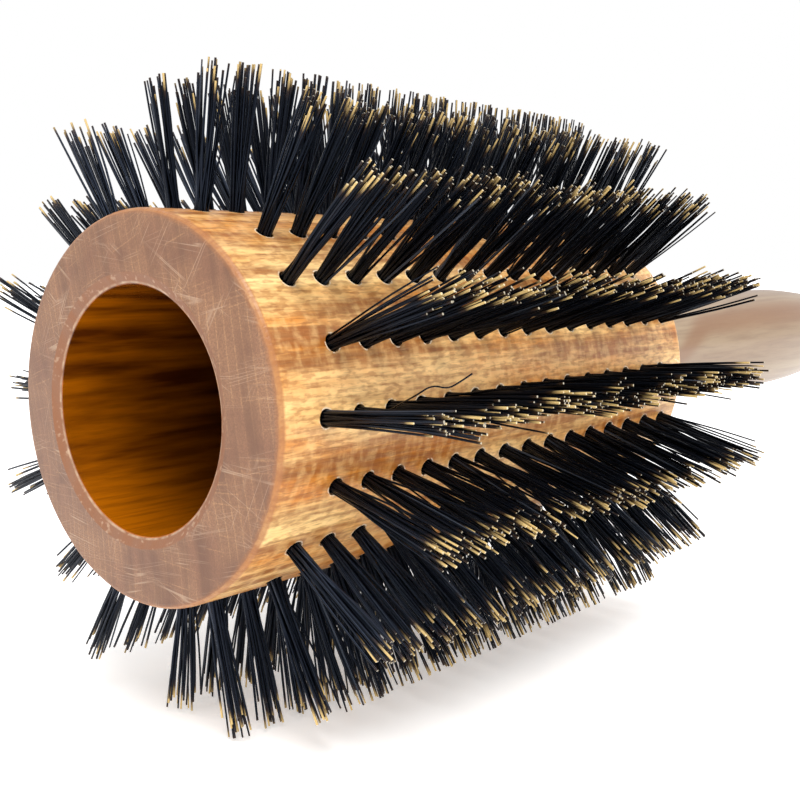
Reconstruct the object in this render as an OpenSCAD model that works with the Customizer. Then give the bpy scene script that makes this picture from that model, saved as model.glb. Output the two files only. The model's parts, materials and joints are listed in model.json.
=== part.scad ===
// Round barrel brush: a hollow turned barrel set all round with rows of bristle tufts, on a turned handle.
// The axis runs along X, from the open mouth of the barrel at the origin to the butt of the handle.

/* [Barrel] */
// Outer diameter of the barrel
barrel_d = 42; // [34:0.5:60]
// Length of the barrel, from its mouth to its rear face
barrel_len = 82; // [78:1:120]
// Diameter of the open bore
bore_d = 26.4; // [18:0.2:32]
// Thickness of the wall behind the bore
rear_wall = 20; // [8:1:40]
// Width of the bevel round the mouth
bevel_w = 1.2; // [0.4:0.1:2]
// Depth of the bevel round the mouth
bevel_depth = 0.6; // [0.2:0.1:1.5]
// How far the front face falls back from the bevel to its rounded edge
face_fall = 0.8; // [0.2:0.1:1.5]
// Radius of the rounded edge at each end of the barrel
edge_r = 1; // [0.5:0.1:1.5]

/* [Bristle tufts] */
// Number of rows of tufts round the barrel
row_count = 18; // [12:1:20]
// Number of tufts in each row
tufts_per_row = 15; // [8:1:15]
// Distance from the mouth to the first tuft of an even row
first_tuft = 7.1; // [4:0.1:9]
// Distance from the last tuft of an odd row to the rear face
last_tuft = 4.6; // [3:0.1:9]
// Diameter of the hole that holds a tuft
hole_d = 1.9; // [1.4:0.1:2.4]
// Wood left between the bottom of a hole and the bore
hole_floor = 1.8; // [1:0.1:2]
// How far the bristles stand out of the barrel
bristle_out = 15.5; // [10:0.5:20]

/* [Tuft anchors] */
// Height of the flat wire anchor in each hole
anchor_h = 1.7; // [1:0.1:2]
// Thickness of the anchor wire
anchor_t = 0.3; // [0.2:0.05:0.4]

/* [Handle] */
// Length of the handle behind the barrel
handle_len = 148; // [120:1:180]
// Diameter of the neck next to the barrel
neck_d = 14; // [10:0.5:18]
// Width of the shoulder between the neck and the tenon that is glued into the barrel
shoulder_w = 1; // [0.5:0.1:2.5]
// Length of the straight neck behind the barrel
neck_len = 20; // [5:1:40]
// Diameter of the belly, where the fingers hold it
belly_d = 19.2; // [16:0.2:24]
// Distance from the barrel to the thickest part of the belly
belly_at = 74; // [50:1:80]
// Diameter of the waist behind the belly
waist_d = 15; // [12:0.5:18]
// Distance from the waist to the end of the handle
waist_back = 34; // [25:1:38]
// Diameter of the swelling near the butt
butt_d = 17.6; // [14:0.2:22]
// Length of the rounded end behind the swelling
butt_back = 11; // [6:0.5:18]

/* [Hidden] */
$fn = 72;

// radial clearance of the glued tenon, and of a tuft in the mouth of its hole
glue_gap = 0.05;
tuft_gap = 0.05;
// gap left round and above an anchor in its hole
anchor_side_gap = 0.125;
anchor_top_gap = 0.2;
// gap between the spread tips of neighbouring tufts
tip_gap = 0.25;
// bevel on the end of the tenon
tenon_bevel = 0.6;

barrel_r = barrel_d / 2;
bore_r = bore_d / 2;
bore_depth = barrel_len - rear_wall;
tenon_r = neck_d / 2 - shoulder_w;
hole_r = hole_d / 2;
hole_bottom_z = bore_r + hole_floor;
anchor_w = hole_d - 2 * anchor_side_gap;

// an odd row starts half a pitch behind an even one, so the field is half a pitch longer than a row
tuft_pitch = (barrel_len - first_tuft - last_tuft) / (tufts_per_row - 0.5);
tip_r = (tuft_pitch - tip_gap) / 2;
tip_z = barrel_r + bristle_out;
tuft_foot_z = hole_bottom_z + anchor_h + anchor_top_gap;
tuft_mouth_r = hole_r - tuft_gap;
tuft_spread = (tip_r - tuft_mouth_r) / bristle_out;
tuft_foot_r = tuft_mouth_r - tuft_spread * (barrel_r - tuft_foot_z);

waist_at = handle_len - waist_back;
butt_at = handle_len - butt_back;
// segments in each smooth stretch of the handle, and in each rounded edge
stretch_steps = 12;
edge_steps = 5;

bristle_color = [0.06, 0.06, 0.07];

function two_digits(number) = number < 10 ? str("0", number) : str(number);
row_numbers = [1:row_count];
TUFT_NODES = [for (row = row_numbers) str("tuft_row_", two_digits(row))];
ANCHOR_NODES = [for (row = row_numbers) str("anchor_row_", two_digits(row))];

// rows are evenly spaced, and every other row is shifted by half a pitch
function row_angle(row) = (row - 1) * 360 / row_count;
function tuft_x(row, tuft) = first_tuft + tuft * tuft_pitch + (row % 2) * tuft_pitch / 2;

// points of a circular arc in a turned profile, as [radius, distance along the axis]
function arc(center, r, from, to) =
    [for (step = [0:edge_steps])
        let (a = from + (to - from) * step / edge_steps)
        center + r * [cos(a), sin(a)]];

// points of a smooth stretch between two radii, without its first point
function stretch(x0, r0, x1, r1) =
    [for (step = [1:stretch_steps])
        let (t = step / stretch_steps)
        [r0 + (r1 - r0) * (1 - cos(180 * t)) / 2, barrel_len + x0 + (x1 - x0) * t]];

// points of the rounded butt, a quarter of an ellipse that ends on the axis
function butt_end() =
    [for (step = [1:stretch_steps])
        let (a = 90 * step / stretch_steps)
        [butt_d / 2 * cos(a), barrel_len + butt_at + butt_back * sin(a)]];

// turns a profile of [radius, distance along the axis] round the X axis
module turned(profile) {
    rotate([0, 90, 0])
        rotate_extrude()
            polygon(profile);
}

// places a child drawn along +Z so that it stands radially out of the axis at one tuft
module at_tuft(row, tuft) {
    rotate([row_angle(row), 0, 0])
        translate([tuft_x(row, tuft), 0, 0])
            rotate([-90, 0, 0])
                children();
}

module tuft_hole() {
    translate([0, 0, hole_bottom_z])
        cylinder(h = barrel_r, r = hole_r);
}

// hollow barrel, bored from the mouth, with a smaller hole for the tenon in its rear wall
module barrel() {
    front_edge = [barrel_r - edge_r, face_fall + edge_r];
    rear_edge = [barrel_r - edge_r, barrel_len - edge_r];
    color("peru")
        difference() {
            turned(concat(
                [[tenon_r, bore_depth], [bore_r, bore_depth], [bore_r, bevel_depth], [bore_r + bevel_w, 0]],
                arc(front_edge, edge_r, -90, 0),
                arc(rear_edge, edge_r, 0, 90),
                [[tenon_r, barrel_len]]
            ));
            for (row = row_numbers)
                for (tuft = [0:tufts_per_row - 1])
                    at_tuft(row, tuft)
                        tuft_hole();
        }
}

// turned handle with the tenon that fills the hole in the barrel's rear wall
module handle() {
    tenon_fit_r = tenon_r - glue_gap;
    color("burlywood")
        turned(concat(
            [
                [0, bore_depth],
                [tenon_fit_r - tenon_bevel, bore_depth],
                [tenon_fit_r, bore_depth + tenon_bevel],
                [tenon_fit_r, barrel_len],
                [neck_d / 2, barrel_len],
                [neck_d / 2, barrel_len + neck_len]
            ],
            stretch(neck_len, neck_d / 2, belly_at, belly_d / 2),
            stretch(belly_at, belly_d / 2, waist_at, waist_d / 2),
            stretch(waist_at, waist_d / 2, butt_at, butt_d / 2),
            butt_end()
        ));
}

// one row of tufts, each a bundle of bristles that spreads from its hole to its tips
module tuft_row(row) {
    color(bristle_color)
        for (tuft = [0:tufts_per_row - 1])
            at_tuft(row, tuft)
                translate([0, 0, tuft_foot_z])
                    cylinder(h = tip_z - tuft_foot_z, r1 = tuft_foot_r, r2 = tip_r);
}

// the flat wire anchors at the bottom of one row's holes, set across the barrel's grain
module anchor_row(row) {
    color("silver")
        for (tuft = [0:tufts_per_row - 1])
            at_tuft(row, tuft)
                translate([-anchor_t / 2, -anchor_w / 2, hole_bottom_z])
                    cube([anchor_t, anchor_w, anchor_h]);
}

barrel();
handle();
for (row = row_numbers) {
    tuft_row(row);
    anchor_row(row);
}
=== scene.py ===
import json
import math

import bmesh
import bpy
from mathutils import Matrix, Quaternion, Vector


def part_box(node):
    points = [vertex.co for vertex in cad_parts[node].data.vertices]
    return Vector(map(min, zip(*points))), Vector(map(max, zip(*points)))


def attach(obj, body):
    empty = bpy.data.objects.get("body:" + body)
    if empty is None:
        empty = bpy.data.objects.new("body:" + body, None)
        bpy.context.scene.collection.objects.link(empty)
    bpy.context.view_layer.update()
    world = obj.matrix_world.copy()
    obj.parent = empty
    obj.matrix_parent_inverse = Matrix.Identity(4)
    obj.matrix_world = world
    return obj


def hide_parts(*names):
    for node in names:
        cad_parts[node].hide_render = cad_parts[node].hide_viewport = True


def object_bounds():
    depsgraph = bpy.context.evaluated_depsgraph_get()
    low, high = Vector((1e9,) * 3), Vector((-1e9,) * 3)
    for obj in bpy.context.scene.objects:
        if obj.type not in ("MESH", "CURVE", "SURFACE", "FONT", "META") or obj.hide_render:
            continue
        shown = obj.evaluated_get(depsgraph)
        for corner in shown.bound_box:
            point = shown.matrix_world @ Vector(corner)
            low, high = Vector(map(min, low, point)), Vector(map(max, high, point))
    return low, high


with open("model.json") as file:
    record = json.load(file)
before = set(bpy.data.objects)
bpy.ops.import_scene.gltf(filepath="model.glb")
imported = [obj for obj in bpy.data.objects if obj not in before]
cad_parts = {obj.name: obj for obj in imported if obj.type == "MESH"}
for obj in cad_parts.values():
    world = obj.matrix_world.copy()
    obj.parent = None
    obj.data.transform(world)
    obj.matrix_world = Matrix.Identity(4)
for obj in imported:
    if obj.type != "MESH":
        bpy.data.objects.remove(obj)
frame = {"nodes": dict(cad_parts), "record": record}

cadLow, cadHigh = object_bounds()
mm = 0.001
print("frame loaded:", len(frame["nodes"]), "nodes")

# measures taken from the frame
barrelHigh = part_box("barrel")[1]
barrelRadius = barrelHigh.z
boreRadius = frame["record"]["mounts"][0]["dims"]["r_mm"] * mm
tuftRows = sorted(name for name in frame["nodes"] if name.startswith("tuft_row_"))
anchorRows = sorted(name for name in frame["nodes"] if name.startswith("anchor_row_"))
rowStep = 2 * math.pi / len(tuftRows)
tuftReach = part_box(tuftRows[0])[1].y - barrelRadius  # how far the bristles stand out
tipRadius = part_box(tuftRows[0])[1].z  # half the width of a tuft at its tips
tuftsInRow = 15


def tuftLine(node):  # where a row's first tuft stands along the barrel, and the step to the next
    low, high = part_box(node)
    first = low.x + tipRadius
    return first, (high.x - tipRadius - first) / (tuftsInRow - 1)


firstHole = [tuftLine(node)[0] / mm for node in tuftRows[:2]]  # the rows stand staggered, by turns
holePitch = tuftLine(tuftRows[0])[1] / mm


def linear(hexColour):  # sRGB hex to the linear colour a shader socket takes
    parts = [int(hexColour[i:i + 2], 16) / 255 for i in (1, 3, 5)]
    return [c / 12.92 if c <= 0.04045 else ((c + 0.055) / 1.055) ** 2.4 for c in parts] + [1.0]


def addNode(tree, kind, inputs=None, **settings):  # a node, its settings, and what goes into its sockets
    made = tree.nodes.new(kind)
    for name, value in settings.items():
        setattr(made, name, value)
    for key, value in (inputs or {}).items():
        if isinstance(value, bpy.types.Node):
            value = next(output for output in value.outputs if output.enabled)
        if isinstance(value, bpy.types.NodeSocket):
            tree.links.new(value, made.inputs[key])
        else:
            made.inputs[key].default_value = value
    return made


maths, mapped, mixed = "ShaderNodeMath", "ShaderNodeMapRange", "ShaderNodeMix"
vectors, principled = "ShaderNodeVectorMath", "ShaderNodeBsdfPrincipled"


def addObject(name, data):
    made = bpy.data.objects.new(name, data)
    bpy.context.scene.collection.objects.link(made)
    return made


def finishedMesh(piece):  # what its modifiers or its curve come to, as a plain mesh
    return bpy.data.meshes.new_from_object(piece.evaluated_get(bpy.context.evaluated_depsgraph_get()))


def startLook(name):  # an empty material, and the place on the object in millimetres
    material = bpy.data.materials.new(name)
    material.use_nodes = True
    tree = material.node_tree
    tree.nodes.clear()
    coordinates = addNode(tree, "ShaderNodeTexCoord")
    place = addNode(tree, vectors, {0: coordinates.outputs["Object"], "Scale": 1000.0}, operation="SCALE")
    return material, tree, place


def figure(tree, place, perMm, low, high, detail=2.0):  # noise with so many cells to a millimetre each way
    stretched = addNode(tree, vectors, {0: place, 1: perMm}, operation="MULTIPLY")
    noise = addNode(tree, "ShaderNodeTexNoise", {"Vector": stretched, "Scale": 1.0, "Detail": detail})
    return addNode(tree, mapped, {0: noise, 1: low, 2: high})


def laid(tree, under, over, mask, share=1.0):  # one colour over another, where the mask shows it
    if share != 1.0:
        mask = addNode(tree, maths, {0: mask, 1: share}, operation="MULTIPLY")
    return addNode(tree, mixed, {0: mask, 6: under, 7: over}, data_type="RGBA")


def shades(finish):  # the colours in a finish, as its shader takes them
    return {name: linear(value) for name, value in finish.items() if isinstance(value, str)}


# barrel
barrelWood = {
    "golden": "#D0812A",
    "pale": "#FFD48E",
    "streak": "#8E4A0C",
    "fleck": "#6E3F14",
    "end grain": "#855C43",
    "end grain dark": "#6B4834",
    "end grain light": "#A27855",
    "ray": "#BC8F64",
    "scuff": "#D6BA9C",
    "bevel": "#875636",
    "worn edge": "#9C6232",
    "bore": "#502200",
    "bore light and lit low wall": "#A85C00",
    "bore dark grain and depth shade": "#220300",
    "hole shade": "#4E3117",
    "rim": "#F2E2C8",
    "pith": (0.0, 62.0, -9.0),  # mm, where the tree's own middle was: off to one side of the blank
    "year": 1.0,  # mm between growth lines
    "rim radius": 1.02,  # mm, the pale ring torn up round each bristle hole
    "bevel width": 1.3,  # mm
    "face to": 1.15,  # mm back from the mouth, where the end grain gives way to the side
    "worn edge at": 1.25,  # mm back from the mouth
    "depth shade": (3.0, 30.0),  # mm into the bore, over which the painted shade deepens
    "lit low wall": (-6.5, -13.0),  # mm below the axis, where the bore's lower wall is painted lighter, as if lit from above
    "scuffs": ((14.0, 1.9), (-31.0, 1.5), (2.0, 2.3), (63.0, 1.4), (-8.0, 2.1)),  # degrees, and how close
}


def barrelMaterial():  # beech turned, stained and oiled: golden streaks along it, dull scuffed end grain
    material, tree, place = startLook("oiledBeechBarrel")
    shade = shades(barrelWood)
    bore, barrel = boreRadius / mm, barrelRadius / mm
    parts = addNode(tree, "ShaderNodeSeparateXYZ", {0: place})
    spoke = addNode(tree, vectors, {0: place, 1: (0.0, 1.0, 1.0)}, operation="MULTIPLY")
    radius = addNode(tree, vectors, {0: spoke}, operation="LENGTH")
    waver = figure(tree, place, (0.9, 0.9, 0.9), 0.3, 0.7)

    # side grain: slow bands, then streaks, then short dark flecks, all lying along the brush
    bands = figure(tree, place, (0.03, 0.20, 0.20), 0.38, 0.62, 3.0)
    streaks = figure(tree, place, (0.035, 0.60, 0.60), 0.45, 0.61, 4.0)
    threads = figure(tree, place, (0.12, 2.4, 2.4), 0.46, 0.64, 3.0)
    flecks = figure(tree, place, (0.5, 4.2, 4.2), 0.58, 0.70, 1.0)
    dabs = figure(tree, place, (0.7, 2.0, 2.0), 0.47, 0.62, 2.0)
    flame = figure(tree, place, (0.95, 0.45, 0.45), 0.42, 0.64, 3.0)  # light caught by wavy grain
    side = laid(tree, shade["golden"], shade["pale"], bands)
    for mask, share, name in ((streaks, 0.78, "streak"), (threads, 0.36, "fleck"), (flame, 0.3, "pale"),
                              (dabs, 0.45, "streak"), (flecks, 0.28, "fleck")):
        side = laid(tree, side, shade[name], mask, share)

    # end grain: growth rings about the pith, with rays crossing them
    fromPith = addNode(tree, vectors, {0: spoke, 1: barrelWood["pith"]}, operation="SUBTRACT")
    pithParts = addNode(tree, "ShaderNodeSeparateXYZ", {0: fromPith})
    pithFar = addNode(tree, vectors, {0: fromPith}, operation="LENGTH")
    drift = figure(tree, place, (0.04, 0.05, 0.05), 0.2, 0.8, 0.0)
    wavering = addNode(tree, maths, {0: drift, 1: 1.3, 2: pithFar}, operation="MULTIPLY_ADD")
    pithTurn = addNode(tree, maths, {0: pithParts.outputs[2], 1: pithParts.outputs[1]}, operation="ARCTAN2")
    pithArc = addNode(tree, maths, {0: pithTurn, 1: barrelWood["pith"][1]}, operation="MULTIPLY")
    grown = addNode(tree, "ShaderNodeCombineXYZ", {0: wavering, 1: pithArc, 2: parts.outputs[0]})
    years = figure(tree, grown, (0.62, 0.035, 0.05), 0.36, 0.64, 3.0)
    cloud = figure(tree, place, (0.12, 0.16, 0.16), 0.36, 0.62, 2.0)
    yearShare = addNode(tree, maths, {0: wavering, 1: barrelWood["year"]}, operation="DIVIDE")
    sinceLine = addNode(tree, maths, {0: yearShare}, operation="FRACT")
    yearLine = addNode(tree, mapped, {0: sinceLine, 1: 0.22, 2: 0.0})
    lines = addNode(tree, maths, {0: yearLine, 1: cloud}, operation="MULTIPLY")
    rays = figure(tree, grown, (0.14, 4.2, 0.2), 0.66, 0.74, 1.0)
    pores = figure(tree, place, (4.0, 6.0, 6.0), 0.40, 0.60, 1.0)
    end = laid(tree, shade["end grain dark"], shade["end grain"], years)
    for mask, share, name in ((cloud, 0.4, "end grain light"), (lines, 0.5, "ray"), (rays, 0.36, "ray"),
                              (pores, 0.5, "end grain dark")):
        end = laid(tree, end, shade[name], mask, share)

    # sanding scuffs, a few directions; the real ones are hair thin and are drawn about twice as wide
    scuffs = None
    for turn, across in barrelWood["scuffs"]:
        swung = addNode(tree, "ShaderNodeMapping",
                        {"Vector": place, "Rotation": (math.radians(turn), 0.0, 0.0),
                         "Location": (turn, turn, 0.0)})
        stretched = addNode(tree, vectors, {0: swung, 1: (0.02, 0.03, across)}, operation="MULTIPLY")
        noise = addNode(tree, "ShaderNodeTexNoise", {"Vector": stretched, "Scale": 1.0, "Detail": 0.0})
        middle = addNode(tree, maths, {0: noise, 1: 0.5}, operation="SUBTRACT")
        offLine = addNode(tree, maths, {0: middle}, operation="ABSOLUTE")
        hair = addNode(tree, mapped, {0: offLine, 1: 0.030, 2: 0.008})
        patch = figure(tree, swung, (0.2, 0.14, 0.4), 0.56, 0.68, 1.0)
        scuff = addNode(tree, maths, {0: hair, 1: patch}, operation="MULTIPLY")
        scuffs = scuff if scuffs is None else addNode(tree, maths, {0: scuffs, 1: scuff}, operation="MAXIMUM")
    end = laid(tree, end, shade["scuff"], scuffs, 0.3)

    # bevel, rubbed by handling, with chips of lighter wood across it
    chips = figure(tree, place, (2.4, 1.4, 1.4), 0.60, 0.72, 1.0)
    bevel = laid(tree, shade["bevel"], shade["end grain"], years)
    bevel = laid(tree, bevel, shade["scuff"], chips, 0.3)

    # bore: a dark stain, with painted shade deepening inwards and a painted lighter lower wall
    boreStreaksAndLitLowWall = figure(tree, place, (0.05, 0.5, 0.5), 0.36, 0.66, 4.0)
    # painted light: the lower wall of the bore is lighter, as if lit from above
    paintedLitLowWall = addNode(tree, mapped, {0: parts.outputs[2], 1: barrelWood["lit low wall"][0],
                                     2: barrelWood["lit low wall"][1]})
    boreStreaksAndLitLowWall = addNode(tree, maths, {0: boreStreaksAndLitLowWall, 1: paintedLitLowWall}, operation="ADD", use_clamp=True)
    boreThreads = figure(tree, place, (0.12, 2.0, 2.0), 0.46, 0.70, 3.0)
    # painted shade: the bore wall darkens further in
    paintedDepthShade = addNode(tree, mapped, {0: parts.outputs[0], 1: barrelWood["depth shade"][0],
                                       2: barrelWood["depth shade"][1]})
    boreWall = laid(tree, shade["bore"], shade["bore light and lit low wall"], boreStreaksAndLitLowWall)
    boreWall = laid(tree, boreWall, shade["bore dark grain and depth shade"], boreThreads, 0.3)
    boreWall = laid(tree, boreWall, shade["bore dark grain and depth shade"], paintedDepthShade, 0.85)

    # bristle holes: how far this place is from the middle of the nearest one
    turnRound = addNode(tree, maths, {0: parts.outputs[2], 1: parts.outputs[1]}, operation="ARCTAN2")
    rowShare = addNode(tree, maths, {0: turnRound, 1: rowStep}, operation="DIVIDE")
    nearRow = addNode(tree, maths, {0: rowShare}, operation="ROUND")
    offRow = addNode(tree, maths, {0: rowShare, 1: nearRow}, operation="SUBTRACT")
    offRowMm = addNode(tree, maths, {0: offRow, 1: rowStep * barrel}, operation="MULTIPLY")
    stagger = addNode(tree, maths, {0: nearRow, 1: 2.0}, operation="FLOORED_MODULO")
    rowStart = addNode(tree, mapped, {0: stagger, 3: firstHole[0], 4: firstHole[1]})
    fromFirst = addNode(tree, maths, {0: parts.outputs[0], 1: rowStart}, operation="SUBTRACT")
    holeShare = addNode(tree, maths, {0: fromFirst, 1: holePitch}, operation="DIVIDE")
    nearHole = addNode(tree, maths, {0: holeShare}, operation="ROUND")
    heldHole = addNode(tree, maths, {0: nearHole, 1: 0.0}, operation="MAXIMUM")
    offHole = addNode(tree, maths, {0: holeShare, 1: heldHole}, operation="SUBTRACT")
    offHoleMm = addNode(tree, maths, {0: offHole, 1: holePitch}, operation="MULTIPLY")
    holeOffset = addNode(tree, "ShaderNodeCombineXYZ", {0: offRowMm, 1: offHoleMm})
    holeFar = addNode(tree, vectors, {0: holeOffset}, operation="LENGTH")
    fromRim = addNode(tree, maths, {0: holeFar, 1: barrelWood["rim radius"]}, operation="SUBTRACT")
    offRim = addNode(tree, maths, {0: fromRim}, operation="ABSOLUTE")
    rim = addNode(tree, mapped, {0: offRim, 1: 0.13, 2: 0.03, 4: 0.75})
    broken = figure(tree, place, (1.6, 1.6, 1.6), 0.44, 0.56)
    rimPart = addNode(tree, maths, {0: rim, 1: broken}, operation="MULTIPLY")
    side = laid(tree, side, shade["rim"], rimPart)
    # painted shade: the side darkens where it drops into each bristle hole
    paintedHoleShade = addNode(tree, mapped, {0: radius, 1: barrel - 0.3, 2: barrel - 0.8})
    side = laid(tree, side, shade["hole shade"], paintedHoleShade)

    # each surface in its own place
    edgeShift = addNode(tree, maths, {0: waver, 1: -0.08, 2: parts.outputs[0]}, operation="MULTIPLY_ADD")
    faceTo = barrelWood["face to"]
    front = addNode(tree, mapped, {0: edgeShift, 1: faceTo, 2: faceTo - 0.2})
    rearAt = barrelHigh.x / mm
    back = addNode(tree, mapped, {0: parts.outputs[0], 1: rearAt - 0.5, 2: rearAt - 0.3})
    isEnd = addNode(tree, maths, {0: front, 1: back}, operation="MAXIMUM")
    fromEdge = addNode(tree, maths, {0: edgeShift, 1: barrelWood["worn edge at"]}, operation="SUBTRACT")
    offEdge = addNode(tree, maths, {0: fromEdge}, operation="ABSOLUTE")
    worn = addNode(tree, mapped, {0: offEdge, 1: 0.45, 2: 0.15, 4: 0.8})
    bevelTo = bore + barrelWood["bevel width"]
    isBevel = addNode(tree, mapped, {0: radius, 1: bevelTo, 2: bevelTo - 0.15})
    fromLip = addNode(tree, maths, {0: radius, 1: bore + 0.16}, operation="SUBTRACT")
    offLip = addNode(tree, maths, {0: fromLip}, operation="ABSOLUTE")
    lip = addNode(tree, mapped, {0: offLip, 1: 0.2, 2: 0.06, 4: 0.55})
    lipWorn = addNode(tree, maths, {0: lip, 1: waver}, operation="MULTIPLY")
    isBore = addNode(tree, mapped, {0: radius, 1: bore + 0.14, 2: bore + 0.04})
    colour = laid(tree, side, end, isEnd)
    colour = laid(tree, colour, shade["worn edge"], worn)
    colour = laid(tree, colour, bevel, isBevel)
    colour = laid(tree, colour, shade["scuff"], lipWorn)
    colour = laid(tree, colour, boreWall, isBore)

    roughSide = addNode(tree, mapped, {0: threads, 3: 0.36, 4: 0.5})
    roughEnd = addNode(tree, mapped, {0: isEnd, 3: roughSide, 4: 0.62})
    rough = addNode(tree, mapped, {0: isBore, 3: roughEnd, 4: 0.26})
    grooves = addNode(tree, maths, {0: threads, 1: flecks}, operation="ADD")
    pitted = addNode(tree, maths, {0: pores, 1: scuffs}, operation="ADD")
    height = addNode(tree, mapped, {0: isEnd, 3: grooves, 4: pitted})
    relief = addNode(tree, "ShaderNodeBump", {"Strength": 0.35, "Distance": 0.05 * mm, "Height": height},
                     invert=True)
    skin = addNode(tree, principled, {"Base Color": colour, "Roughness": rough, "IOR": 1.48, "Normal": relief,
                                      "Coat Weight": 0.15, "Coat Roughness": 0.3})
    addNode(tree, "ShaderNodeOutputMaterial", {0: skin})
    return material


# handle
handleWood = {
    "tan": "#80644A",
    "pale": "#968064",
    "streak": "#70543C",
    "thread": "#5E4632",
    "shadeBand": "#7A5230",
    "shadeBand rises": (104.0, 122.0),  # mm along the brush
    "shadeBand turns": (198.0, 146.0),  # degrees round it, before and after
    "sides": 72,
    "step": 0.5 * mm,  # a change of radius on the spot that counts as a shoulder
}


def handleMaterial():  # the same beech, turned and lacquered: paler, pinkish tan, with a clear shine
    material, tree, place = startLook("lacqueredBeechHandle")
    shade = shades(handleWood)
    bands = figure(tree, place, (0.014, 0.14, 0.14), 0.34, 0.64, 3.0)
    streaks = figure(tree, place, (0.035, 0.8, 0.8), 0.44, 0.70, 4.0)
    threads = figure(tree, place, (0.16, 2.8, 2.8), 0.48, 0.72, 3.0)
    colour = laid(tree, shade["tan"], shade["pale"], bands)
    colour = laid(tree, colour, shade["streak"], streaks, 0.6)
    colour = laid(tree, colour, shade["thread"], threads, 0.18)
    # painted shade: one broad darker band winds slowly round it from the neck, where the flare would be
    # shaded
    parts = addNode(tree, "ShaderNodeSeparateXYZ", {0: place})
    turnRound = addNode(tree, maths, {0: parts.outputs[2], 1: parts.outputs[1]}, operation="ARCTAN2")
    rises, turns = handleWood["shadeBand rises"], [math.radians(turn) for turn in handleWood["shadeBand turns"]]
    winding = addNode(tree, mapped, {0: parts.outputs[0], 1: rises[0], 2: rises[1], 3: turns[0], 4: turns[1]},
                      interpolation_type="SMOOTHSTEP")
    fromShadeBand = addNode(tree, maths, {0: turnRound, 1: winding}, operation="SUBTRACT")
    aroundShadeBand = addNode(tree, maths, {0: fromShadeBand, 1: math.pi, 2: -math.pi}, operation="WRAP")
    offShadeBand = addNode(tree, maths, {0: aroundShadeBand}, operation="ABSOLUTE")
    shadeBand = addNode(tree, mapped, {0: offShadeBand, 1: math.radians(26), 2: math.radians(4), 4: 0.75},
                    interpolation_type="SMOOTHSTEP")
    colour = laid(tree, colour, shade["shadeBand"], shadeBand)
    relief = addNode(tree, "ShaderNodeBump", {"Strength": 0.15, "Distance": 0.04 * mm, "Height": threads},
                     invert=True)
    skin = addNode(tree, principled, {"Base Color": colour, "Roughness": 0.36, "IOR": 1.5, "Normal": relief,
                                      "Coat Weight": 0.15, "Coat Roughness": 0.14})
    addNode(tree, "ShaderNodeOutputMaterial", {0: skin})
    return material


def wireMaterial():  # drawn steel wire, cut to staples: bright lines along it
    material, tree, place = startLook("drawnSteelWire")
    drawn = figure(tree, place, (6.0, 0.6, 0.6), 0.35, 0.65)
    rough = addNode(tree, mapped, {0: drawn, 3: 0.25, 4: 0.42})
    skin = addNode(tree, principled, {"Base Color": linear("#C6C8CA"), "Metallic": 1.0, "Roughness": rough})
    addNode(tree, "ShaderNodeOutputMaterial", {0: skin})
    return material


frame["nodes"]["barrel"].material_slots[0].material = barrelMaterial()
wireLook = wireMaterial()
for name in anchorRows:
    frame["nodes"][name].material_slots[0].material = wireLook
print("barrel and staples finished")


def turningProfile(node):  # places along the axis with the radius there, small one first where it steps up
    girths = {}
    for vertex in frame["nodes"][node].data.vertices:
        girths.setdefault(round(vertex.co.x, 5), []).append(math.hypot(vertex.co.y, vertex.co.z))
    profile = []
    for at in sorted(girths):
        least, most = min(girths[at]), max(girths[at])
        if most - least > handleWood["step"]:
            profile.append((at, least))
        profile.append((at, most))
    return profile


def buildTurningTree():  # wood turned on a lathe: a line down the axis, a ring of its girth at each point
    tree = bpy.data.node_groups.new("turnedWood", "GeometryNodeTree")
    for name, kind in (("Axis Line", "Geometry"), ("Sides", "Int"), ("Wood", "Material")):
        tree.interface.new_socket(name=name, in_out="INPUT", socket_type="NodeSocket" + kind)
    tree.interface.new_socket(name="Geometry", in_out="OUTPUT", socket_type="NodeSocketGeometry")
    given = tree.nodes.new("NodeGroupInput").outputs
    girth = addNode(tree, "GeometryNodeInputNamedAttribute", {"Name": "girth"}, data_type="FLOAT")
    axis = addNode(tree, "GeometryNodeMeshToCurve", {0: given["Axis Line"]})
    ring = addNode(tree, "GeometryNodeCurvePrimitiveCircle", {"Resolution": given["Sides"], "Radius": 1.0})
    turned = addNode(tree, "GeometryNodeCurveToMesh",
                     {"Curve": axis, "Profile Curve": ring, "Scale": girth, "Fill Caps": True})
    smooth = addNode(tree, "GeometryNodeSetShadeSmooth", {"Geometry": turned})
    whole = addNode(tree, "GeometryNodeRealizeInstances", {"Geometry": smooth})
    finished = addNode(tree, "GeometryNodeSetMaterial", {"Geometry": whole, "Material": given["Wood"]})
    addNode(tree, "NodeGroupOutput", {0: finished})
    return tree


profile = turningProfile("handle")
axisLine = bpy.data.meshes.new("handleAxis")
axisLine.from_pydata([(at, 0, 0) for at, girth in profile], [(i, i + 1) for i in range(len(profile) - 1)], [])
axisLine.attributes.new("girth", "FLOAT", "POINT").data.foreach_set("value", [girth for at, girth in profile])
handle = addObject("turned_handle", axisLine)
turning = handle.modifiers.new("turn", "NODES")
turning.node_group = buildTurningTree()
for item in turning.node_group.interface.items_tree:
    if item.name == "Sides" and item.in_out == "INPUT":
        turning[item.identifier] = handleWood["sides"]
    if item.name == "Wood":
        turning[item.identifier] = handleMaterial()
turnedMesh = finishedMesh(handle)
handle.modifiers.remove(turning)
closing = bmesh.new()
closing.from_mesh(turnedMesh)
bmesh.ops.remove_doubles(closing, verts=closing.verts, dist=0.005 * mm)
bmesh.ops.recalc_face_normals(closing, faces=closing.faces)
closing.to_mesh(turnedMesh)
closing.free()
handle.data = turnedMesh
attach(handle, "root")
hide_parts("handle")
print("handle turned:", len(turnedMesh.polygons), "faces")


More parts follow.
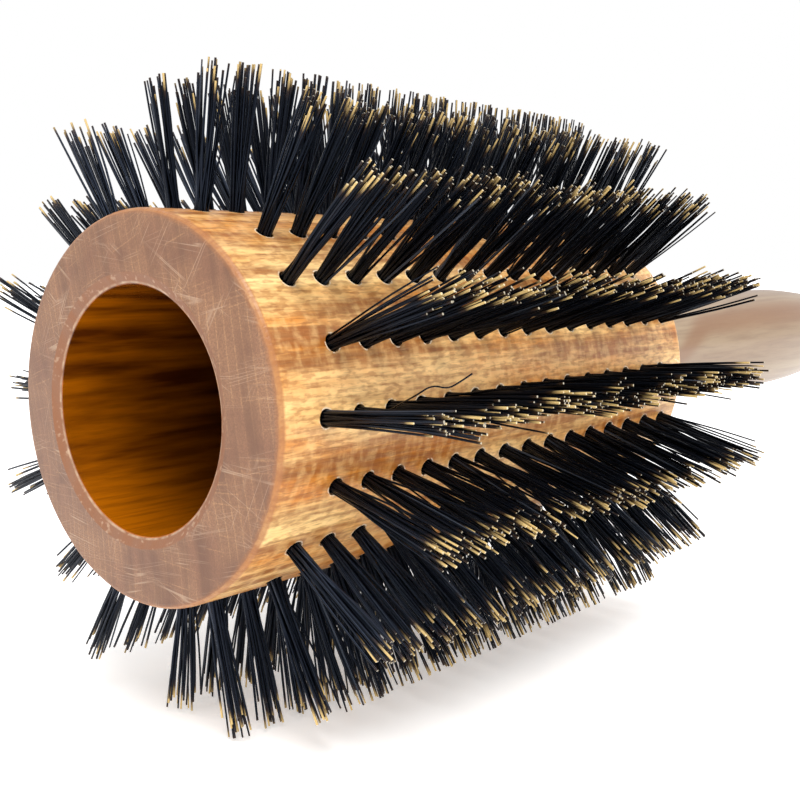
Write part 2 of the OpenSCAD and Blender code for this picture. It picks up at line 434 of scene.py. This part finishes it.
# bristles
bristles = {
    "strands in a tuft": 25,
    "rings along a strand": 7,
    "sides of a strand": 5,
    "strand radius": 0.15 * mm,
    "tuft radius at its foot": 0.74 * mm,
    "tuft radius at its tips": 1.3 * mm,
    "depth of the foot": 3.0 * mm,
    "shortest strand": 0.80,  # as a share of the longest
    "stray at the tips": 1.35 * mm,
    "tuft lean": 0.55 * mm,
    "bow": 0.35 * mm,
    "dyed to the tip": 0.52,  # share of the strands
    "longest bare tip": 0.13,  # as a share of a strand
    "dyed": "#020306",
    "grey": "#3A3F48",
    "brown": "#3A2814",
    "straw": "#D2B476",
    "paleCutAndGlint": "#E9DFC6",
    "shine": "#B4C6EC",
}


def buildBristleTree():  # one row of tufts, its strands drawn as curves from their number alone
    tree = bpy.data.node_groups.new("bristleRow", "GeometryNodeTree")
    random = "FunctionNodeRandomValue"
    for name, kind in (
        ("Tufts", "Int"), ("Strands", "Int"), ("Rings", "Int"), ("Sides", "Int"), ("Seed", "Int"),
        ("First Tuft", "Float"), ("Pitch", "Float"), ("Row Angle", "Float"), ("Barrel Radius", "Float"),
        ("Foot Depth", "Float"), ("Reach", "Float"), ("Shortest", "Float"), ("Foot Radius", "Float"),
        ("Tip Radius", "Float"), ("Stray", "Float"), ("Lean", "Float"), ("Bow", "Float"),
        ("Strand Radius", "Float"), ("Bristle Material", "Material"),
    ):
        tree.interface.new_socket(name=name, in_out="INPUT", socket_type="NodeSocket" + kind)
    tree.interface.new_socket(name="Geometry", in_out="OUTPUT", socket_type="NodeSocketGeometry")
    given = tree.nodes.new("NodeGroupInput").outputs

    # which ring of which strand of which tuft each point is
    index = addNode(tree, "GeometryNodeInputIndex")
    ring = addNode(tree, maths, {0: index, 1: given["Rings"]}, operation="MODULO")
    strandShare = addNode(tree, maths, {0: index, 1: given["Rings"]}, operation="DIVIDE")
    strand = addNode(tree, maths, {0: strandShare}, operation="FLOOR")
    tuftShare = addNode(tree, maths, {0: strand, 1: given["Strands"]}, operation="DIVIDE")
    tuft = addNode(tree, maths, {0: tuftShare}, operation="FLOOR")
    place = addNode(tree, maths, {0: strand, 1: given["Strands"]}, operation="MODULO")
    lastRing = addNode(tree, maths, {0: given["Rings"], 1: 1.0}, operation="SUBTRACT")
    along = addNode(tree, maths, {0: ring, 1: lastRing}, operation="DIVIDE")

    # chance values, the same along a strand or through a tuft
    tuftSeed = addNode(tree, maths, {0: given["Seed"], 1: 211.0}, operation="ADD")
    finishSeed = addNode(tree, maths, {0: given["Seed"], 1: 503.0}, operation="ADD")
    strandChance = addNode(tree, random, {0: (-1, -1, -1), 1: (1, 1, 1), "ID": strand, "Seed": given["Seed"]},
                           data_type="FLOAT_VECTOR")
    tuftChance = addNode(tree, random, {0: (-1, -1, -1), 1: (1, 1, 1), "ID": tuft, "Seed": tuftSeed},
                         data_type="FLOAT_VECTOR")
    finishChance = addNode(tree, random, {0: (0, 0, 0), 1: (1, 1, 1), "ID": strand, "Seed": finishSeed},
                           data_type="FLOAT_VECTOR")
    tuftParts = addNode(tree, "ShaderNodeSeparateXYZ", {0: tuftChance})
    finishParts = addNode(tree, "ShaderNodeSeparateXYZ", {0: finishChance})

    # height above the barrel's surface; a chance raised to a power leaves most strands near full length
    shortBy = addNode(tree, maths, {0: finishParts.outputs[0], 1: 1.8}, operation="POWER")
    longest = addNode(tree, maths, {0: 1.0, 1: given["Shortest"]}, operation="SUBTRACT")
    lost = addNode(tree, maths, {0: shortBy, 1: longest}, operation="MULTIPLY")
    kept = addNode(tree, maths, {0: 1.0, 1: lost}, operation="SUBTRACT")
    length = addNode(tree, maths, {0: kept, 1: given["Reach"]}, operation="MULTIPLY")
    whole = addNode(tree, maths, {0: length, 1: given["Foot Depth"]}, operation="ADD")
    drawn = addNode(tree, maths, {0: along, 1: whole}, operation="MULTIPLY")
    height = addNode(tree, maths, {0: drawn, 1: given["Foot Depth"]}, operation="SUBTRACT")
    above = addNode(tree, maths, {0: height, 1: 0.0}, operation="MAXIMUM")
    rise = addNode(tree, maths, {0: above, 1: given["Reach"]}, operation="DIVIDE")

    # place in the tuft: a sunflower pattern, which packs strands evenly in a round hole
    placeHalf = addNode(tree, maths, {0: place, 1: 0.5}, operation="ADD")
    placeShare = addNode(tree, maths, {0: placeHalf, 1: given["Strands"]}, operation="DIVIDE")
    ringOut = addNode(tree, maths, {0: placeShare}, operation="SQRT")
    turn = addNode(tree, maths, {0: place, 1: math.radians(137.508)}, operation="MULTIPLY")
    tuftTurn = addNode(tree, maths, {0: tuftParts.outputs[2], 1: math.pi, 2: turn}, operation="MULTIPLY_ADD")
    sideX = addNode(tree, maths, {0: tuftTurn}, operation="COSINE")
    sideY = addNode(tree, maths, {0: tuftTurn}, operation="SINE")
    discWay = addNode(tree, "ShaderNodeCombineXYZ", {0: sideX, 2: sideY})
    disc = addNode(tree, vectors, {0: discWay, "Scale": ringOut.outputs[0]}, operation="SCALE")

    # the bundle opens as it rises, each strand strays a little, and the whole tuft leans
    opening = addNode(tree, maths, {0: rise, 1: 1.4}, operation="POWER")
    widening = addNode(tree, maths, {0: given["Tip Radius"], 1: given["Foot Radius"]}, operation="SUBTRACT")
    spread = addNode(tree, maths, {0: opening, 1: widening, 2: given["Foot Radius"]},
                     operation="MULTIPLY_ADD")
    fan = addNode(tree, vectors, {0: disc, "Scale": spread.outputs[0]}, operation="SCALE")
    squared = addNode(tree, vectors, {0: strandChance, 1: strandChance}, operation="MULTIPLY")
    cubed = addNode(tree, vectors, {0: squared, 1: strandChance}, operation="MULTIPLY")
    strayRise = addNode(tree, maths, {0: rise, 1: 1.5}, operation="POWER")
    strayBy = addNode(tree, maths, {0: strayRise, 1: given["Stray"]}, operation="MULTIPLY")
    stray = addNode(tree, vectors, {0: cubed, "Scale": strayBy.outputs[0]}, operation="SCALE")
    leanBy = addNode(tree, maths, {0: rise, 1: given["Lean"]}, operation="MULTIPLY")
    lean = addNode(tree, vectors, {0: tuftChance, "Scale": leanBy.outputs[0]}, operation="SCALE")
    halfTurn = addNode(tree, maths, {0: rise, 1: math.pi}, operation="MULTIPLY")
    belly = addNode(tree, maths, {0: halfTurn}, operation="SINE")
    bowBy = addNode(tree, maths, {0: belly, 1: given["Bow"]}, operation="MULTIPLY")
    bow = addNode(tree, vectors, {0: strandChance, "Scale": bowBy.outputs[0]}, operation="SCALE")
    leaning = addNode(tree, vectors, {0: stray, 1: lean}, operation="ADD")
    bowed = addNode(tree, vectors, {0: leaning, 1: bow}, operation="ADD")
    sideways = addNode(tree, vectors, {0: bowed, 1: (1, 0, 1)}, operation="MULTIPLY")
    offset = addNode(tree, vectors, {0: fan, 1: sideways}, operation="ADD")

    # stand it on the barrel, then turn the row to its angle
    tuftAt = addNode(tree, maths, {0: tuft, 1: given["Pitch"], 2: given["First Tuft"]},
                     operation="MULTIPLY_ADD")
    outward = addNode(tree, maths, {0: height, 1: given["Barrel Radius"]}, operation="ADD")
    stand = addNode(tree, "ShaderNodeCombineXYZ", {0: tuftAt, 1: outward})
    flat = addNode(tree, vectors, {0: stand, 1: offset}, operation="ADD")
    turned = addNode(tree, "ShaderNodeVectorRotate", {"Vector": flat, "Angle": given["Row Angle"]},
                     rotation_type="X_AXIS")

    # a strand is thickest at its foot, and each has its own gauge
    taper = addNode(tree, mapped, {0: along, 1: 0.3, 2: 1.0, 3: 1.0, 4: 0.82})
    gauge = addNode(tree, mapped, {0: finishParts.outputs[2], 3: 0.72, 4: 1.2})
    thick = addNode(tree, maths, {0: taper, 1: gauge}, operation="MULTIPLY")
    radius = addNode(tree, maths, {0: thick, 1: given["Strand Radius"]}, operation="MULTIPLY")

    strandCount = addNode(tree, maths, {0: given["Tufts"], 1: given["Strands"]}, operation="MULTIPLY")
    pointCount = addNode(tree, maths, {0: strandCount, 1: given["Rings"]}, operation="MULTIPLY")
    points = addNode(tree, "GeometryNodePoints", {"Count": pointCount, "Position": turned, "Radius": radius})
    withAlong = addNode(tree, "GeometryNodeStoreNamedAttribute",
                        {"Geometry": points, "Name": "along", "Value": along}, data_type="FLOAT")
    withShade = addNode(tree, "GeometryNodeStoreNamedAttribute",
                        {"Geometry": withAlong, "Name": "shade", "Value": finishParts.outputs[1]},
                        data_type="FLOAT")
    curves = addNode(tree, "GeometryNodePointsToCurves",
                     {"Points": withShade, "Curve Group ID": strand, "Weight": ring})
    profile = addNode(tree, "GeometryNodeCurvePrimitiveCircle",
                      {"Resolution": given["Sides"], "Radius": 1.0})
    gaugeThere = addNode(tree, "GeometryNodeInputRadius")
    tubes = addNode(tree, "GeometryNodeCurveToMesh",
                    {"Curve": curves, "Profile Curve": profile, "Scale": gaugeThere, "Fill Caps": True})
    smooth = addNode(tree, "GeometryNodeSetShadeSmooth", {"Geometry": tubes})
    solid = addNode(tree, "GeometryNodeRealizeInstances", {"Geometry": smooth})
    painted = addNode(tree, "GeometryNodeSetMaterial", {"Geometry": solid,
                                                           "Material": given["Bristle Material"]})
    addNode(tree, "NodeGroupOutput", {0: painted})
    return tree


def bristleMaterial():  # boar bristle, dyed black and cut: hard shiny strands, some bare and straw at the tip
    material, tree = startLook("dyedBoarBristle")[:2]
    colours = shades(bristles)
    along = addNode(tree, "ShaderNodeAttribute", attribute_name="along")
    shade = addNode(tree, "ShaderNodeAttribute", attribute_name="shade")
    # how far down from the tip a strand is bare: not at all on half of them, up to 2 or 3 mm on the rest
    bare = addNode(tree, mapped, {0: shade.outputs["Fac"], 1: bristles["dyed to the tip"], 2: 1.0,
                                  3: 0.0, 4: bristles["longest bare tip"]})
    start = addNode(tree, maths, {0: 1.0, 1: bare}, operation="SUBTRACT")
    past = addNode(tree, maths, {0: along.outputs["Fac"], 1: start}, operation="SUBTRACT")
    tip = addNode(tree, mapped, {0: past, 1: 0.0, 2: 0.07})
    tipBrown = addNode(tree, mapped, {0: past, 1: -0.05, 2: 0.02})
    grey = addNode(tree, mapped, {0: shade.outputs["Fac"], 1: 0.05, 2: 0.03})
    # the cut end of each strand is paler: partly the bare cut, partly a painted glint
    paleCutAndGlint = addNode(tree, mapped, {0: along.outputs["Fac"], 1: 0.9985, 2: 0.9999})
    colour = laid(tree, colours["dyed"], colours["grey"], grey)
    colour = laid(tree, colour, colours["brown"], tipBrown)
    colour = laid(tree, colour, colours["straw"], tip)
    colour = laid(tree, colour, colours["paleCutAndGlint"], paleCutAndGlint, 0.45)
    rough = addNode(tree, mapped, {0: shade.outputs["Fac"], 3: 0.22, 4: 0.36})
    skin = addNode(tree, principled, {"Base Color": colour, "Roughness": rough, "IOR": 1.54,
                                      "Specular IOR Level": 0.3, "Specular Tint": colours["shine"]})
    addNode(tree, "ShaderNodeOutputMaterial", {0: skin})
    return material


bristleTree = buildBristleTree()
bristleLook = bristleMaterial()
sockets = {item.name: item.identifier for item in bristleTree.interface.items_tree
           if item.in_out == "INPUT"}
for number, tuftNode in enumerate(tuftRows):
    firstTuft, pitch = tuftLine(tuftNode)
    row = addObject("bristles_" + tuftNode[-2:], bpy.data.meshes.new("bristles"))
    grower = row.modifiers.new("grow", "NODES")
    grower.node_group = bristleTree
    for name, value in {
        "Tufts": tuftsInRow,
        "Strands": bristles["strands in a tuft"],
        "Rings": bristles["rings along a strand"],
        "Sides": bristles["sides of a strand"],
        "Seed": 11 + 7 * number,
        "First Tuft": firstTuft,
        "Pitch": pitch,
        "Row Angle": number * rowStep,
        "Barrel Radius": barrelRadius,
        "Foot Depth": bristles["depth of the foot"],
        "Reach": tuftReach,
        "Shortest": bristles["shortest strand"],
        "Foot Radius": bristles["tuft radius at its foot"],
        "Tip Radius": bristles["tuft radius at its tips"],
        "Stray": bristles["stray at the tips"],
        "Lean": bristles["tuft lean"],
        "Bow": bristles["bow"],
        "Strand Radius": bristles["strand radius"],
        "Bristle Material": bristleLook,
    }.items():
        grower[sockets[name]] = value
    grown = finishedMesh(row)
    row.modifiers.remove(grower)
    row.data = grown
    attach(row, "root")
    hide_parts(tuftNode)
print("bristles grown:", len(tuftRows), "rows,", len(grown.polygons), "faces in the last")


# one long kinked bristle that worked loose and lies over its row
strayBristle = {
    "path": ((12.1, -20.6, 0.0), (12.7, -24.0, 0.3), (11.4, -27.0, 1.5), (10.4, -29.5, 2.4),
             (10.3, -31.5, 3.5), (10.7, -33.0, 3.2), (11.0, -34.0, 3.7), (11.9, -35.0, 4.6)),  # mm
    "radius": 0.085 * mm,
}
strayLine = bpy.data.curves.new("stray", "CURVE")
strayLine.dimensions = "3D"
strayLine.bevel_depth = strayBristle["radius"]
strayLine.bevel_resolution = 1
strayLine.use_fill_caps = True
spline = strayLine.splines.new("NURBS")
spline.points.add(len(strayBristle["path"]) - 1)
spline.order_u = 3
spline.use_endpoint_u = True
for point, at in zip(spline.points, strayBristle["path"]):
    point.co = (*(Vector(at) * mm), 1.0)
drawn = addObject("strayDrawn", strayLine)
strayMesh = finishedMesh(drawn)
bpy.data.objects.remove(drawn)
strayMesh.materials.clear()
strayMesh.materials.append(bristleLook)
for name, value in (("along", 0.5), ("shade", 0.3)):
    values = [value] * len(strayMesh.vertices)
    strayMesh.attributes.new(name, "FLOAT", "POINT").data.foreach_set("value", values)
stray = addObject("stray_bristle", strayMesh)
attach(stray, "root")


# camera, light and floor
shot = {
    "aim": Vector((43.1, 0.0, -2.7)) * mm,
    "azimuth": 49.9,  # degrees from +Y towards +X
    "down": 6.1,
    "distance": 154.3 * mm,
    "roll": 0.85,
    "lens": 52.7,
}
lights = {
    "surround": 1.0,
    "table": 0.36,  # the floor is a lit table, so that shadows stay faint
    "key": 2.3,
    "key softness": 34.0,  # degrees
    "key towards": (0.35, 0.5, -1.0),
    "paper": "#FAFAFA",
    "table reach": 12.0,  # metres
}

azimuth, down = math.radians(shot["azimuth"]), math.radians(shot["down"])
looking = Vector((math.sin(azimuth) * math.cos(down), math.cos(azimuth) * math.cos(down), -math.sin(down)))
camera = addObject("camera", bpy.data.cameras.new("camera"))
camera.rotation_mode = "QUATERNION"
camera.rotation_quaternion = (looking.to_track_quat("-Z", "Y")
                              @ Quaternion((0, 0, 1), math.radians(-shot["roll"])))
camera.location = shot["aim"] - looking * shot["distance"]
camera.data.lens = shot["lens"]
camera.data.clip_start = 5 * mm
bpy.context.scene.camera = camera

floor = addObject("floor", bpy.data.meshes.new("floor"))
reach, level = lights["table reach"], cadLow.z
floor.data.from_pydata([(-reach, -reach, level), (reach, -reach, level), (reach, reach, level),
                        (-reach, reach, level)], [], [(0, 1, 2, 3)])
paper = bpy.data.materials.new("whitePaper")
paper.use_nodes = True
paperSkin = paper.node_tree.nodes["Principled BSDF"].inputs
paperSkin["Base Color"].default_value = linear(lights["paper"])
paperSkin["Roughness"].default_value = 0.9
paperSkin["Emission Color"].default_value = (1, 1, 1, 1)
paperSkin["Emission Strength"].default_value = lights["table"]
floor.data.materials.append(paper)

world = bpy.data.worlds.new("studio")
world.use_nodes = True
surround = world.node_tree.nodes["Background"].inputs
surround["Color"].default_value = (1, 1, 1, 1)
surround["Strength"].default_value = lights["surround"]
bpy.context.scene.world = world
key = addObject("key", bpy.data.lights.new("key", "SUN"))
key.data.energy = lights["key"]
key.data.angle = math.radians(lights["key softness"])
key.rotation_mode = "QUATERNION"
key.rotation_quaternion = Vector(lights["key towards"]).to_track_quat("-Z", "Y")
bpy.context.scene.view_settings.view_transform = "Standard"
print("camera, light and floor set")
